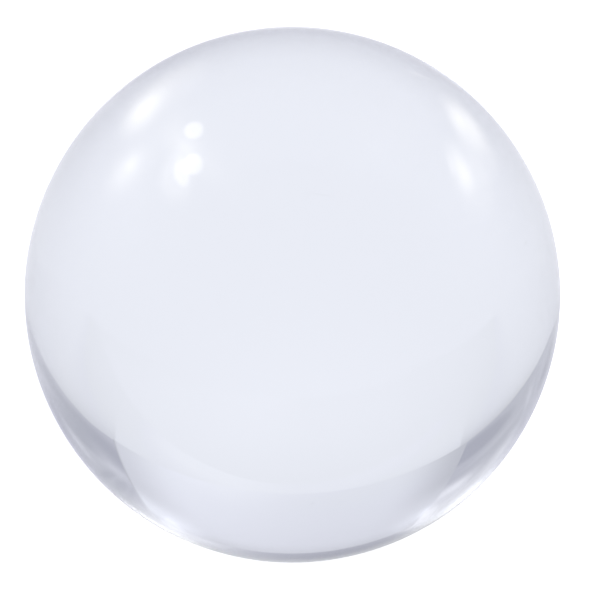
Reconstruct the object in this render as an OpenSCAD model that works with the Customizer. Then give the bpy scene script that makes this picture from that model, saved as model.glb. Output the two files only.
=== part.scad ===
// Clear acrylic ball: one solid piece of cast acrylic, turned to a true sphere and
// polished all over, with no flat, hole or core. The origin is the centre of the ball
// and +Z is up.

/* [Ball] */
// Diameter of the finished ball, in millimetres
ball_d = 80; // [20:1:200]

/* [Hidden] */
// Segments in a full turn of the drawn sphere
ball_segments = 180;

// The whole ball, a true sphere about the origin
module ball() {
    color([0.91, 0.93, 0.97, 0.35])
        sphere(d = ball_d, $fn = ball_segments);
}

ball();
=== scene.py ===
"""Looks of the clear acrylic ball: its mesh and material, the studio it stands in, and the camera."""

import math

import bmesh
import bpy
from mathutils import Matrix, Vector


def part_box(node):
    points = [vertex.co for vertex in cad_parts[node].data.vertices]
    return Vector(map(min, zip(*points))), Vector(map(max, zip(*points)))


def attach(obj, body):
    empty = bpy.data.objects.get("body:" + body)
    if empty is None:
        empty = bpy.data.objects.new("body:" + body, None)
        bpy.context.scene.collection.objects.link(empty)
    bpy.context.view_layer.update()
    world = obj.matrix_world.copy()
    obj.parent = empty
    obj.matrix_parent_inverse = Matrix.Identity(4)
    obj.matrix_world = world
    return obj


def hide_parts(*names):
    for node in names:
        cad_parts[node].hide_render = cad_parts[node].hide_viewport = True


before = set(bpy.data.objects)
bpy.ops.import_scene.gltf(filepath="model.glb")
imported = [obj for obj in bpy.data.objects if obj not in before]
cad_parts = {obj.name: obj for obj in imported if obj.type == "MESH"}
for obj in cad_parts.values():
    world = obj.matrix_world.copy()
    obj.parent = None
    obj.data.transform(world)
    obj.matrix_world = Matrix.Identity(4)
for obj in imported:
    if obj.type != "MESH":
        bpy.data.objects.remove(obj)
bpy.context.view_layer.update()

# --- Sizes, in metres unless named otherwise ---
BALL_LOW, BALL_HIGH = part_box("ball")
CENTRE = (BALL_LOW + BALL_HIGH) / 2
RADIUS = min(BALL_HIGH - BALL_LOW) / 2
FLOOR_LEVEL = (BALL_LOW.z - CENTRE.z) / RADIUS  # the floor's height, in ball radii from the centre
BALL_CUTS = 95  # cuts along each edge of the cube that is rounded into the ball
ACRYLIC_IOR = 1.49
ACRYLIC_TINT = (0.870, 0.896, 0.976)
TINT_SPREAD = (0.992, 1.008)  # the tint's least and greatest share
POLISH = (0.0, 0.03)  # least and greatest roughness
RIPPLE = 0.000002  # how far the surface seems to rise and fall
TINT_SCALE, POLISH_SCALE, RIPPLE_SCALE = 2.5, 6, 5  # features across the ball's radius
# Small marks on the ball: azimuth, elevation, length, width and turn in degrees, and how much each darkens.
# Another program worked out the azimuths and elevations, from where the marks are seen.
MARKS = (
    (113, 27.3, 1.0, 0.6, 0, 0.13),  # five specks
    (176, -11.4, 0.7, 0.6, 0, 0.08),
    (159, 41, 0.6, 0.6, 0, 0.06),
    (-173, 49, 0.6, 0.6, 0, 0.04),
    (-175, 11, 0.6, 0.6, 0, 0.04),
    (170.4, 53.6, 6.6, 0.35, -14, 0.03),  # and a hairline; the real one is brighter, not darker
)

# --- The camera: looks along +Y and down ---
CAMERA_ELEVATION = 34.5  # degrees
CAMERA_DISTANCE = 8.0  # ball radii
SENSOR = 36.0  # millimetres
BALL_SHARE = 0.90694  # the ball's outline, as a share of the half frame
AIM_RIGHT, AIM_UP = 0.0106, -0.0025  # the frame's middle, in half frames from the ball's middle

# --- The studio, in ball radii from the ball's centre, and degrees ---
WORLD_LIGHT = 0.8  # plain soft light on all that isn't seen directly
FLOOR_COLOUR = 0.8
FLOOR_GLOW = 0.72  # lifts the floor to white where the camera sees it
TABLE_SIDE, TABLE_FRONT, FAR_BACK = 12.0, -9.0, 9.0
TABLE_DROP = 0.002  # the table and the far floor are this far below the white base
BASE_FRONT = -1.73  # the white base starts here
BASE_CUT = 2.2  # behind this y the base narrows to its back edge
BASE_BACK = ((-2.85, BASE_CUT), (3.41, BASE_CUT), (2.68, 4.41), (-1.78, 4.15))  # that part's corners
SHEEN = ((-0.14, 1.4), (0.10, 1.4), (1.85, 4.14), (-1.68, 4.14))  # a brighter wedge of painted light, in front of the card
SHEEN_RISE = 0.0005
FLOOR_STEPS, BASE_STEPS, PANEL_STEPS = 60, 200, 80  # each way, over a painted piece
PANEL_Y = 4.14  # white card that stands behind the ball
PANEL_CORNERS = ((-1.81, -1.0), (1.9, -1.0), (1.98, 1.12), (-1.65, 1.08))  # x and z
FLOOR_TINT, PANEL_TINT = (1.0, 1.0, 1.0), (1.0, 1.0, 1.01)
ROOM_TINT, GLOW_TINT = (1.0, 1.0, 1.04), (1.0, 0.98, 0.92)
SOFT_TINT, GLOSS_TINT, LAMP_TINT = (1.0, 1.0, 1.2), (1.0, 1.04, 0.95), (1.0, 0.95, 0.8)  # mirrored light
TABLE_TINT, FRONT_BLUE_LIGHT = (1.0, 1.0, 1.13), (0.0, -0.03, 0.14)  # the second is painted blue light, added to the mirrored base in front of the ball
ROOM_RADIUS = 16.0
ROOM_FINE, ROOM_AROUND, ROOM_UP = 0.5, 4, 3  # degrees between its points: at the lamps, and elsewhere
LAMP_SIDES, LAMP_HEIGHTS = (-100, 100), (-12, 60)  # the lamps lie between these
# Pools of light in the room: azimuth, elevation, length, width, turn, strength and edge. Length and width
# are the angles across at half strength, turn lifts the right end, and a higher edge number is crisper.
# Most numbers in GLOWS and LAMPS, the strengths in the other two lists and the weights in the light
# functions were fitted in another program, by least squares, to how the ball looks from this camera, and
# then rounded. The rows are patches of light and shade. What cast them in the real room isn't known.
ROOM_POOLS = (  # broad soft light, seen through the ball
    (-62, 30, 50, 36, 0, 0.19, 2),
    (48, 48, 50, 60, 0, 0.32, 2),
    (180, 60, 160, 26, 0, 0.48, 2),
)
GLOWS = (  # seen through the ball
    (-12, 33, 34, 16, 0, -0.4, 2),  # a dark gap above the card
    (-48, 30.5, 16, 26.5, 45, 3, 2.5),  # the large bright patch on the left
    (-49, 13.5, 9.5, 13, 54, 0.29, 4),  # below it
    (-26.5, 19.5, 15.5, 7, -65, 0.72, 2.5),  # streaks beside the card
    (-28, 11.5, 15, 11.5, -6, 0.23, 6),
    (-44, 9, 14.5, 6.5, 27, 0.19, 3),  # soft light under them
    (-59.5, 25, 40.5, 12.5, 22, 1.7, 2.5),  # the bright left side
    (-31.5, 8, 9.5, 4, 9, 0.27, 2),  # a bright patch
    (-62, 0, 7.5, 5.5, -1, -0.27, 3),  # dark patches far to the left
    (-65.3, -4, 7.5, 2.7, -8, -0.21, 4.5),
    (-50.6, -2, 6, 2.8, 95, 0.13, 3),  # a bright upright streak
    (-40, 0.5, 18, 1.9, 10, 0.047, 5),  # and a level one
    (-31, -3.5, 22.5, 5.5, 3, -0.11, 7.5),  # a dim band low down
    (41, 38.5, 22.5, 18.5, 22, 3.6, 3.5),  # the large bright patch on the right
    (24.5, 23.5, 16, 18.5, -67, 0.63, 2.5),  # below it
    (26, 13.5, 27, 6.5, 88, 0.39, 5.5),  # a streak beside the card
    (58.5, 26.5, 36.5, 12, -13, 1.5, 2),  # the bright right side
    (35.6, 12.7, 13.5, 2.4, 55, -0.082, 5),  # three dark streaks
    (39.3, 11.9, 13.5, 2.2, 48, -0.11, 3),
    (33.9, 15.1, 22, 1, 60, -0.059, 2),
    (45.7, 7.9, 6.5, 3.4, -28, 0.18, 2.5),  # bright patches
    (33.5, 3.5, 7.5, 5.5, -16, 0.15, 2),
    (64, -4.5, 11.5, 26.5, -76, 0.32, 1.5),
    (57, 11, 8, 15, 7, -0.33, 2),  # a dark patch far to the right
    (40.5, -0.5, 29.5, 10, 3, -0.14, 7.5),  # dim bands low down
    (66, -4.5, 34.5, 5.5, 3, -0.29, 3.5),
)
MIRRORED_POOLS = (  # soft light mirrored in the front of the ball, on the floor and in the room
    (-40, -20, 60, 30, 0, 0.37, 2),
    (42, -17, 70, 34, 0, 0.39, 2),
    (-75, 38, 60, 30, 0, 0.13, 2),
    (0, -14, 40, 24, 0, -0.20, 2),
    (0, 12, 50, 40, 0, 0.07, 2),
    (0, -34.5, 34, 34, 0, 0.22, 5),  # straight behind the ball: its very edge
    (0, -20, 40, 12, 0, 0.15, 2),  # and above it
    (0, -7, 18, 14, 0, 0.3, 2),
)
LAMPS = (  # the highlights mirrored in the front of the ball
    (-38, 20.5, 17, 9, -40, 2, 2.5),  # left: a long highlight
    (-29.5, 19.5, 26.5, 17, -58, 0.46, 4),  # and the light round it
    (-52, 49.5, 9.5, 5.7, -52, 2.6, 9),  # the upper dot of a pair
    (-62.5, 49.5, 23.5, 7, -44, 1.6, 1.5),
    (-77, 54.3, 10, 6.8, -25, 2.6, 12),  # the lower dot, with a tail
    (-80.5, 50, 13, 5, -13, 2.2, 8),
    (-79.5, 48.5, 21.5, 12, 3, 1.3, 4.5),
    (-64, 28, 12, 10.5, -41, 2, 2),  # a small highlight
    (-62, 29, 6.5, 4, -28, 0.7, 3),
    (40, 12.5, 19.5, 9, 39, 1.5, 3),  # right: a long highlight
    (39.5, 16, 13, 4.5, 35, 0.49, 3.5),
    (63.5, 25.5, 12.5, 7, -1, 2.2, 2.5),  # and one below it
    (63.3, 30.3, 8.5, 2.5, 2, 0.78, 3.5),
    (63.5, 21, 26, 16.5, 6, 0.41, 5),
    (54.5, 15, 31.5, 8, 39, 0.34, 5),
    (46, 22.5, 18, 5.5, 64, -0.18, 3.5),  # a dim streak between them
    (21.8, 8, 8, 1.6, -88, 0.27, 3),  # a slit near the top
)


def direction(azimuth, elevation):
    """Unit vector towards an azimuth, 0 along +Y and 90 along +X, and an elevation, in degrees."""
    a, e = math.radians(azimuth), math.radians(elevation)
    return Vector((math.sin(a) * math.cos(e), math.cos(a) * math.cos(e), math.sin(e)))


def new_material(name):
    """A material with nothing in its node tree but an output: the material, the tree and the output."""
    material = bpy.data.materials.new(name)
    material.use_nodes = True
    tree = material.node_tree
    tree.nodes.clear()
    return material, tree, tree.nodes.new("ShaderNodeOutputMaterial")


def add_object(name, mesh, material):
    """A mesh and its material as an object in the scene."""
    piece = bpy.data.objects.new(name, mesh)
    bpy.context.scene.collection.objects.link(piece)
    mesh.materials.append(material)
    return piece


# --- The ball ---
def ball_mesh(radius, cuts):
    """A cube's faces cut into a grid and pushed out onto the sphere, so that its facets are much alike."""
    mesh = bpy.data.meshes.new("clear_ball")
    bm = bmesh.new()
    bmesh.ops.create_cube(bm, size=2.0)
    bmesh.ops.subdivide_edges(bm, edges=bm.edges[:], cuts=cuts, use_grid_fill=True)
    for vert in bm.verts:
        # the tangent evens out the steps from the middle of a face to its edges
        vert.co = Vector([math.tan(c * math.pi / 4) for c in vert.co]).normalized() * radius
    for face in bm.faces:
        face.smooth = True
    bm.to_mesh(mesh)
    bm.free()
    return mesh


def number(tree, operation, *values):
    """The result of a Math node on sockets and plain numbers."""
    node = tree.nodes.new("ShaderNodeMath")
    node.operation = operation
    for value, socket in zip(values, node.inputs):
        if isinstance(value, (int, float)):
            socket.default_value = value
        else:
            tree.links.new(value, socket)
    return node.outputs[0]


def noise(tree, position, scale, low, high):
    """Even noise between two values; scale is in features across the ball's radius."""
    texture = tree.nodes.new("ShaderNodeTexNoise")
    texture.inputs["Scale"].default_value = scale / RADIUS
    texture.inputs["Detail"].default_value = 2.0
    tree.links.new(position, texture.inputs["Vector"])
    return number(tree, "MULTIPLY_ADD", texture.outputs["Fac"], high - low, low)


def mark(tree, position, azimuth, elevation, length, width, turn, depth):
    """What a small oval mark on the surface lets through: 1 away from it, 1 less its depth inside it."""
    outward = direction(azimuth, elevation)
    along = Vector((0, 0, 1)).cross(outward).normalized()
    axes = Matrix((along, outward.cross(along), outward))
    oval = tree.nodes.new("ShaderNodeMapping")
    oval.vector_type = "TEXTURE"
    oval.inputs["Location"].default_value = outward * RADIUS
    turned = axes.transposed() @ Matrix.Rotation(math.radians(turn), 3, "Z")
    oval.inputs["Rotation"].default_value = turned.to_euler()
    sizes = (length, width, length)
    oval.inputs["Scale"].default_value = [math.radians(size) / 2 * RADIUS for size in sizes]
    distance = tree.nodes.new("ShaderNodeVectorMath")
    distance.operation = "LENGTH"
    tree.links.new(position, oval.inputs["Vector"])
    tree.links.new(oval.outputs["Vector"], distance.inputs[0])
    inside = tree.nodes.new("ShaderNodeMapRange")
    inside.interpolation_type = "SMOOTHSTEP"
    tree.links.new(distance.outputs["Value"], inside.inputs["Value"])
    # its edge is soft, from half its size to one and a half times its size
    for name, value in (("From Min", 0.5), ("From Max", 1.5), ("To Min", 1 - depth), ("To Max", 1)):
        inside.inputs[name].default_value = value
    return inside.outputs["Result"]


def clear_acrylic():
    """Faintly violet clear acrylic: its tint and polish vary a little, and it has a few small marks."""
    material, tree, output = new_material("clear_acrylic")
    nodes, links = tree.nodes, tree.links
    position = nodes.new("ShaderNodeTexCoord").outputs["Object"]
    shader = nodes.new("ShaderNodeBsdfPrincipled")
    shader.inputs["Transmission Weight"].default_value = 1.0
    shader.inputs["IOR"].default_value = ACRYLIC_IOR
    links.new(noise(tree, position, POLISH_SCALE, *POLISH), shader.inputs["Roughness"])
    clear = noise(tree, position, TINT_SCALE, *TINT_SPREAD)
    for row in MARKS:
        clear = number(tree, "MULTIPLY", clear, mark(tree, position, *row))
    tint = nodes.new("ShaderNodeVectorMath")
    tint.operation = "SCALE"
    tint.inputs[0].default_value = ACRYLIC_TINT
    links.new(clear, tint.inputs["Scale"])
    links.new(tint.outputs[0], shader.inputs["Base Color"])
    bump = nodes.new("ShaderNodeBump")
    bump.inputs["Distance"].default_value = RIPPLE
    links.new(noise(tree, position, RIPPLE_SCALE, 0, 1), bump.inputs["Height"])
    links.new(bump.outputs["Normal"], shader.inputs["Normal"])
    links.new(shader.outputs["BSDF"], output.inputs["Surface"])
    return material


# --- The studio ---
def seen_directly(tree):
    """
    Two sockets that are 1 for what the camera sees and 0 otherwise.

    The first also counts what it sees in a reflection or through the clear ball.
    """
    path = tree.nodes.new("ShaderNodeLightPath").outputs
    by_camera = path["Is Camera Ray"]
    in_ball = number(tree, "MAXIMUM", path["Is Glossy Ray"], path["Is Transmission Ray"])
    return number(tree, "MAXIMUM", by_camera, in_ball), by_camera


def paint_on_mesh(tree, name):
    """A colour that is kept on the mesh under a name."""
    node = tree.nodes.new("ShaderNodeAttribute")
    node.attribute_name = name
    return node.outputs["Color"]


def added(tree, first, second):
    """The sum of two shader nodes."""
    node = tree.nodes.new("ShaderNodeAddShader")
    tree.links.new(first.outputs[0], node.inputs[0])
    tree.links.new(second.outputs[0], node.inputs[1])
    return node.outputs[0]


def mixed(tree, factor, first, second):
    """The first shader where the factor is 0, and the second where it is 1."""
    node = tree.nodes.new("ShaderNodeMixShader")
    tree.links.new(factor, node.inputs[0])
    tree.links.new(first, node.inputs[1])
    tree.links.new(second, node.inputs[2])
    return node.outputs[0]


def emission(tree, strength=1.0):
    """A white Emission node."""
    node = tree.nodes.new("ShaderNodeEmission")
    node.inputs["Color"].default_value = (1, 1, 1, 1)
    node.inputs["Strength"].default_value = strength
    return node


def white_world(light):
    """White where it is seen, and a plain soft light on everything else."""
    world = bpy.data.worlds.new("studio")
    world.use_nodes = True
    bpy.context.scene.world = world
    tree = world.node_tree
    background = tree.nodes["Background"]
    background.inputs["Color"].default_value = (1, 1, 1, 1)
    seen, _ = seen_directly(tree)
    strength = number(tree, "MULTIPLY_ADD", seen, 1 - light, light)
    tree.links.new(strength, background.inputs["Strength"])


def painted(tree):
    """
    Emission of the light painted on the mesh: "mirrored" in the ball's front, or else "through".

    The two paints are set apart from each other, so together they aren't one consistent room.
    """
    path = tree.nodes.new("ShaderNodeLightPath").outputs
    before_ball = number(tree, "LESS_THAN", path["Transmission Depth"], 0.5)  # 1 outside the ball
    front = number(tree, "MULTIPLY", before_ball, path["Is Glossy Ray"])
    through, mirrored = emission(tree), emission(tree)
    tree.links.new(paint_on_mesh(tree, "through"), through.inputs["Color"])
    tree.links.new(paint_on_mesh(tree, "mirrored"), mirrored.inputs["Color"])
    return mixed(tree, front, through.outputs[0], mirrored.outputs[0])


def painted_light():
    """What is seen only in the ball and glows with its paint."""
    material, tree, output = new_material("painted_light")
    tree.links.new(painted(tree), output.inputs["Surface"])
    material.cycles.emission_sampling = "NONE"
    return material


def floor_material():
    """
    A white floor for the camera; the ball shows its painted light instead.

    Its glow takes it past white, so next to nothing is left of the ball's shadow on it.
    """
    material, tree, output = new_material("floor_white")
    seen, by_camera = seen_directly(tree)
    # the light it sheds on other things stays plain
    diffuse = tree.nodes.new("ShaderNodeBsdfDiffuse")
    diffuse.inputs["Color"].default_value = (FLOOR_COLOUR, FLOOR_COLOUR, FLOOR_COLOUR, 1)
    in_ball = mixed(tree, seen, diffuse.outputs[0], painted(tree))
    to_camera = added(tree, diffuse, emission(tree, strength=FLOOR_GLOW))
    tree.links.new(mixed(tree, by_camera, in_ball, to_camera), output.inputs["Surface"])
    material.cycles.emission_sampling = "NONE"
    return material


def stage_mesh(name, points, faces, material):
    """A studio object from corners in ball radii about the ball's centre."""
    mesh = bpy.data.meshes.new(name)
    mesh.from_pydata([CENTRE + Vector(p) * RADIUS for p in points], [], faces)
    piece = add_object(name, mesh, material)
    return piece


def paint(piece, through, mirrored):
    """Gives each point of a stage object the light seen through the ball and mirrored in its front."""
    attributes = piece.data.attributes
    for name in ("through", "mirrored"):
        attributes.new(name, "FLOAT_COLOR", "POINT")
    for name, colours in (("through", through), ("mirrored", mirrored)):
        attributes[name].data.foreach_set("color", [c for colour in colours for c in (*colour, 1)])
    return piece


def smooth(low, high, value):
    """0 at low, 1 at high and smooth in between; low may be above high."""
    t = min(max((value - low) / (high - low), 0.0), 1.0)
    return t * t * (3 - 2 * t)


def grid_faces(columns, rows):
    """Quads over rows of points."""
    corners = (0, 1, columns + 1, columns)
    starts = [j * columns + i for j in range(rows - 1) for i in range(columns - 1)]
    return [tuple(start + corner for corner in corners) for start in starts]


def between(corners, u, v):
    """The point between four corners, front left first and then round, at shares u across and v back."""
    a, b, c, d = corners
    return tuple((1 - v) * ((1 - u) * a[k] + u * b[k]) + v * ((1 - u) * d[k] + u * c[k]) for k in (0, 1))


def grid(corners, steps):
    """Rows of points between four corners."""
    return [between(corners, i / steps, j / steps) for j in range(steps + 1) for i in range(steps + 1)]


def coloured(light, tint):
    """A light's strength as a colour, never below black."""
    return tuple(max(light, 0) * c for c in tint)


def lit(colour, light, tint):
    """A colour with tinted light added, never below black."""
    return tuple(max(c + light * t, 0) for c, t in zip(colour, tint))


def bell(distance, width):
    """1 at no distance, and falling smoothly to nothing."""
    return math.exp(-((distance / width) ** 2))


def faded(beyond, reach):
    """1 up to some place, and falling to a half at a reach beyond it."""
    return 1 / (1 + (max(beyond, 0) / reach) ** 2)


def base_light(x, y):
    """Painted light on the white base: painted shade in a ring close to the ball, dimmer towards its back
    and far to the sides.
    """
    from_foot, side, left = math.hypot(x, y), abs(x), x < 0
    light = 0.98
    light -= 0.39 * bell(from_foot - 1.4, 0.5) * smooth(1.2, 0, y)  # painted shade of the ball, in a ring round it
    light -= 0.30 * (bell(from_foot, 1.2) * smooth(1.2, -0.2, y) + bell(from_foot, 0.5))  # painted shade under the ball
    light -= 0.13 * smooth(1.6, 4.2, y)  # the back, and more so at its corners
    light -= (0.14 if left else 0.02) * smooth(1.4, 4.2, y) * smooth(0.3, 2.5, side)
    light -= (0.90 if left else 0.52) * smooth(2.5, 8, side)  # far to the sides
    return light + 0.06 * bell(math.hypot(x, y - 1), 0.5)  # a painted bright spot behind its foot


def sheen_light(x, y):
    """The brighter wedge of painted light on the base, in front of the card."""
    return base_light(x, y) + 0.12 * smooth(1.7, 4.2, y)


def table_light(x, y):
    """The table in front of the base, dimmer towards its front and its sides."""
    return 0.46 * faded(-1.8 - y, 4) * faded(abs(x) - 2.5, 6)


def mirrored_light(x, y, z, share=1.0, gloss=0.0):
    """
    What the ball's front mirrors from a point: soft light, brighter ahead and low down, and gloss.

    Share is how much of the soft light reaches there, and gloss is painted light that the surface itself
    adds.
    """
    azimuth = math.degrees(math.atan2(x, y))
    elevation = math.degrees(math.atan2(z, math.hypot(x, y)))
    ahead = 0.18 + 0.16 * smooth(45, 28, elevation)  # the walls, brighter lower down
    ahead += 0.05 * smooth(2, -10, elevation) + 0.11 * smooth(-28, -50, elevation)  # the floor
    soft = share * (0.22 + ahead * smooth(120, 70, abs(azimuth)))
    gloss += share * pool_light(azimuth, elevation, MIRRORED_POOLS)
    return tuple(soft * a + gloss * b for a, b in zip(SOFT_TINT, GLOSS_TINT))


def base_mirrored(x, y):
    """The base, mirrored: it fades in front of the ball, but for the ball's foot and its own front edge."""
    in_front = smooth(0, -1.2, y)
    gloss = 0.78 * bell(math.hypot(x, y), 0.9) * smooth(0, -0.4, y) - 0.12 * in_front  # the foot
    gloss -= (0.54 if x < 0 else 0.30) * smooth(1, 4, abs(x)) * in_front  # the sides
    gloss += 0.28 * smooth(-1.4, -1.6, y) * smooth(3, 1.5, abs(x))  # the front edge
    gloss += 0.67 * smooth(-1.1, -1.55, y) * smooth(0.1, -0.6, x) * smooth(-2.2, -1.0, x)
    light = mirrored_light(x, y, FLOOR_LEVEL, smooth(-1.5, 0, y), gloss)
    # painted blue light on the mirrored base in front of the ball
    return lit(light, in_front, FRONT_BLUE_LIGHT)


def table_mirrored(x, y):
    """The table, mirrored: brighter on the left."""
    return coloured(0.33 * smooth(0.6, -1.2, x) * faded(abs(x) - 2.5, 6), TABLE_TINT)


def floor_piece(name, corners, height, light, mirrored_by, material, steps=FLOOR_STEPS):
    """A four-sided piece of floor at a height above the ball's foot, painted with its light."""
    flat = grid(corners, steps)
    through = [coloured(light(x, y), FLOOR_TINT) for x, y in flat]
    mirrored = [mirrored_by(x, y) for x, y in flat]
    points = [(x, y, FLOOR_LEVEL + height) for x, y in flat]
    piece = stage_mesh(name, points, grid_faces(steps + 1, steps + 1), material)
    return paint(piece, through, mirrored)


def floor():
    """A table, the white base in two parts, the brighter wedge on it, and far floor for the camera."""
    side = TABLE_SIDE
    table = ((-side, TABLE_FRONT), (side, TABLE_FRONT), (side, BASE_FRONT), (-side, BASE_FRONT))
    base = ((-side, BASE_FRONT), (side, BASE_FRONT), (side, BASE_CUT), (-side, BASE_CUT))
    behind = ((-side, BASE_CUT), (side, BASE_CUT), (side, FAR_BACK), (-side, FAR_BACK))
    material = floor_material()
    floor_piece("table", table, -TABLE_DROP, table_light, table_mirrored, material)
    floor_piece("base", base, 0, base_light, base_mirrored, material, BASE_STEPS)
    floor_piece("base_back", BASE_BACK, 0, base_light, base_mirrored, material)
    floor_piece("sheen", SHEEN, SHEEN_RISE, sheen_light, base_mirrored, material)
    far = floor_piece("far_floor", behind, -TABLE_DROP, base_light, base_mirrored, material)
    far.visible_glossy = far.visible_transmission = False  # the ball shows the room there


def pool_light(azimuth, elevation, pools):
    """The light of all the pools of a list in a direction."""
    total = 0.0
    for azimuth_0, elevation_0, length, width, turn, strength, edge in pools:
        x = ((azimuth - azimuth_0 + 180) % 360 - 180) * math.cos(math.radians(elevation))
        y = elevation - elevation_0
        if max(abs(x), abs(y)) > 1.5 * max(length, width):
            continue  # the pool has faded by there
        t = math.radians(turn)
        along, across = x * math.cos(t) + y * math.sin(t), y * math.cos(t) - x * math.sin(t)
        distance = math.hypot(2 * along / length, 2 * across / width)
        total += strength * 0.5 ** (distance**edge)
    return total


def room_light(azimuth, elevation):
    """The room without its lamps, as seen through the ball: dark behind the camera, but for its floor."""
    aside = abs(azimuth)
    light = 0.08 + 0.55 * smooth(108, 78, aside) * smooth(-14, -10, elevation)  # the walls ahead
    light += 0.75 * smooth(-10, -14, elevation) * smooth(110, 70, aside)  # the floor ahead
    light += 0.63 * smooth(-2, -6, elevation) * smooth(70, 110, aside)  # and behind
    return light + pool_light(azimuth, elevation, ROOM_POOLS)


def spaced(low, fine_low, fine_high, high, coarse):
    """Angles from low to high: close together between fine_low and fine_high, coarse steps elsewhere."""
    spans = ((low, fine_low, coarse), (fine_low, fine_high, ROOM_FINE), (fine_high, high, coarse))
    angles = []
    for a, b, step in spans:
        count = round((b - a) / step)
        angles += [a + (b - a) * i / count for i in range(count)]
    return angles + [high]


def room(material):
    """A ball of light round the studio, seen in the acrylic and not by the camera; fine at its lamps."""
    azimuths = spaced(-180, *LAMP_SIDES, 180, ROOM_AROUND)
    elevations = spaced(-90, *LAMP_HEIGHTS, 90, ROOM_UP)
    points, through, mirrored = [], [], []
    for elevation in elevations:
        for azimuth in azimuths:
            at = direction(azimuth, elevation)
            points.append(at * ROOM_RADIUS)
            walls = coloured(room_light(azimuth, elevation), ROOM_TINT)
            through.append(lit(walls, pool_light(azimuth, elevation, GLOWS), GLOW_TINT))
            mirrored.append(lit(mirrored_light(*at), pool_light(azimuth, elevation, LAMPS), LAMP_TINT))
    piece = stage_mesh("room", points, grid_faces(len(azimuths), len(elevations)), material)
    piece.visible_camera = False
    paint(piece, through, mirrored)


def panel_light(x, z):
    """The card as seen through the ball: brighter at its top corners, with a streak in each."""
    light = 0.92 + 0.09 * smooth(-0.5, 1.2, x)
    light += 0.35 * smooth(0.9, 1.5, x) * smooth(-0.1, 0.9, z)  # top right, and the streak in it
    streak = smooth(1.38, 1.56, x) * smooth(0.18, -0.05, x - 1.5 - 0.55 * (z - 0.5))
    light += 0.26 * streak * smooth(0.3, 0.8, z)
    light += 0.22 * smooth(-1.0, -1.6, x) * smooth(0.0, 0.6, z)  # top left, and the streak in it
    light += 0.31 * smooth(-1.42, -1.66, x + 0.35 * (z - 0.3)) * smooth(0.15, 0.5, z)
    light -= 0.25 * smooth(-0.8, -1.8, x) * smooth(0.2, -0.5, z)  # low on the left
    light -= 0.17 * smooth(0.9, 1.85, x) * smooth(0.4, -0.3, z)  # and on the right
    light -= 0.25 * smooth(0.06, 0, 1.94 + 0.04 * z - x)  # its right edge is soft
    return light - 0.11 * smooth(0.5, 1.1, z)  # along its top


def panel(material):
    """The white card behind the ball; its sides lean a little."""
    upright = grid(PANEL_CORNERS, PANEL_STEPS)
    through = [coloured(panel_light(x, z), PANEL_TINT) for x, z in upright]
    mirrored = [mirrored_light(x, PANEL_Y, z) for x, z in upright]
    points = [(x, PANEL_Y, z) for x, z in upright]
    piece = stage_mesh("panel", points, grid_faces(PANEL_STEPS + 1, PANEL_STEPS + 1), material)
    piece.visible_camera = False
    paint(piece, through, mirrored)


def camera():
    """Looks at the ball, with a lens that gives its outline its share of the frame."""
    data = bpy.data.cameras.new("camera")
    data.sensor_width = SENSOR
    tan_outline = math.tan(math.asin(1 / CAMERA_DISTANCE))
    data.lens = SENSOR / 2 * BALL_SHARE / tan_outline
    eye = bpy.data.objects.new("camera", data)
    bpy.context.scene.collection.objects.link(eye)
    back = direction(180, CAMERA_ELEVATION)
    eye.location = CENTRE + back * CAMERA_DISTANCE * RADIUS
    data.shift_x, data.shift_y = AIM_RIGHT / 2, AIM_UP / 2
    eye.rotation_mode = "QUATERNION"
    eye.rotation_quaternion = (-back).to_track_quat("-Z", "Y")
    bpy.context.scene.camera = eye


def build():
    """The ball as the part's one node, then the camera and the studio."""
    ball = add_object("clear_ball", ball_mesh(RADIUS, BALL_CUTS), clear_acrylic())
    ball.location = CENTRE
    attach(ball, "root")
    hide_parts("ball")
    camera()
    white_world(WORLD_LIGHT)
    floor()
    light = painted_light()
    room(light)
    panel(light)


build()
bpy.context.scene.view_settings.view_transform = "Standard"
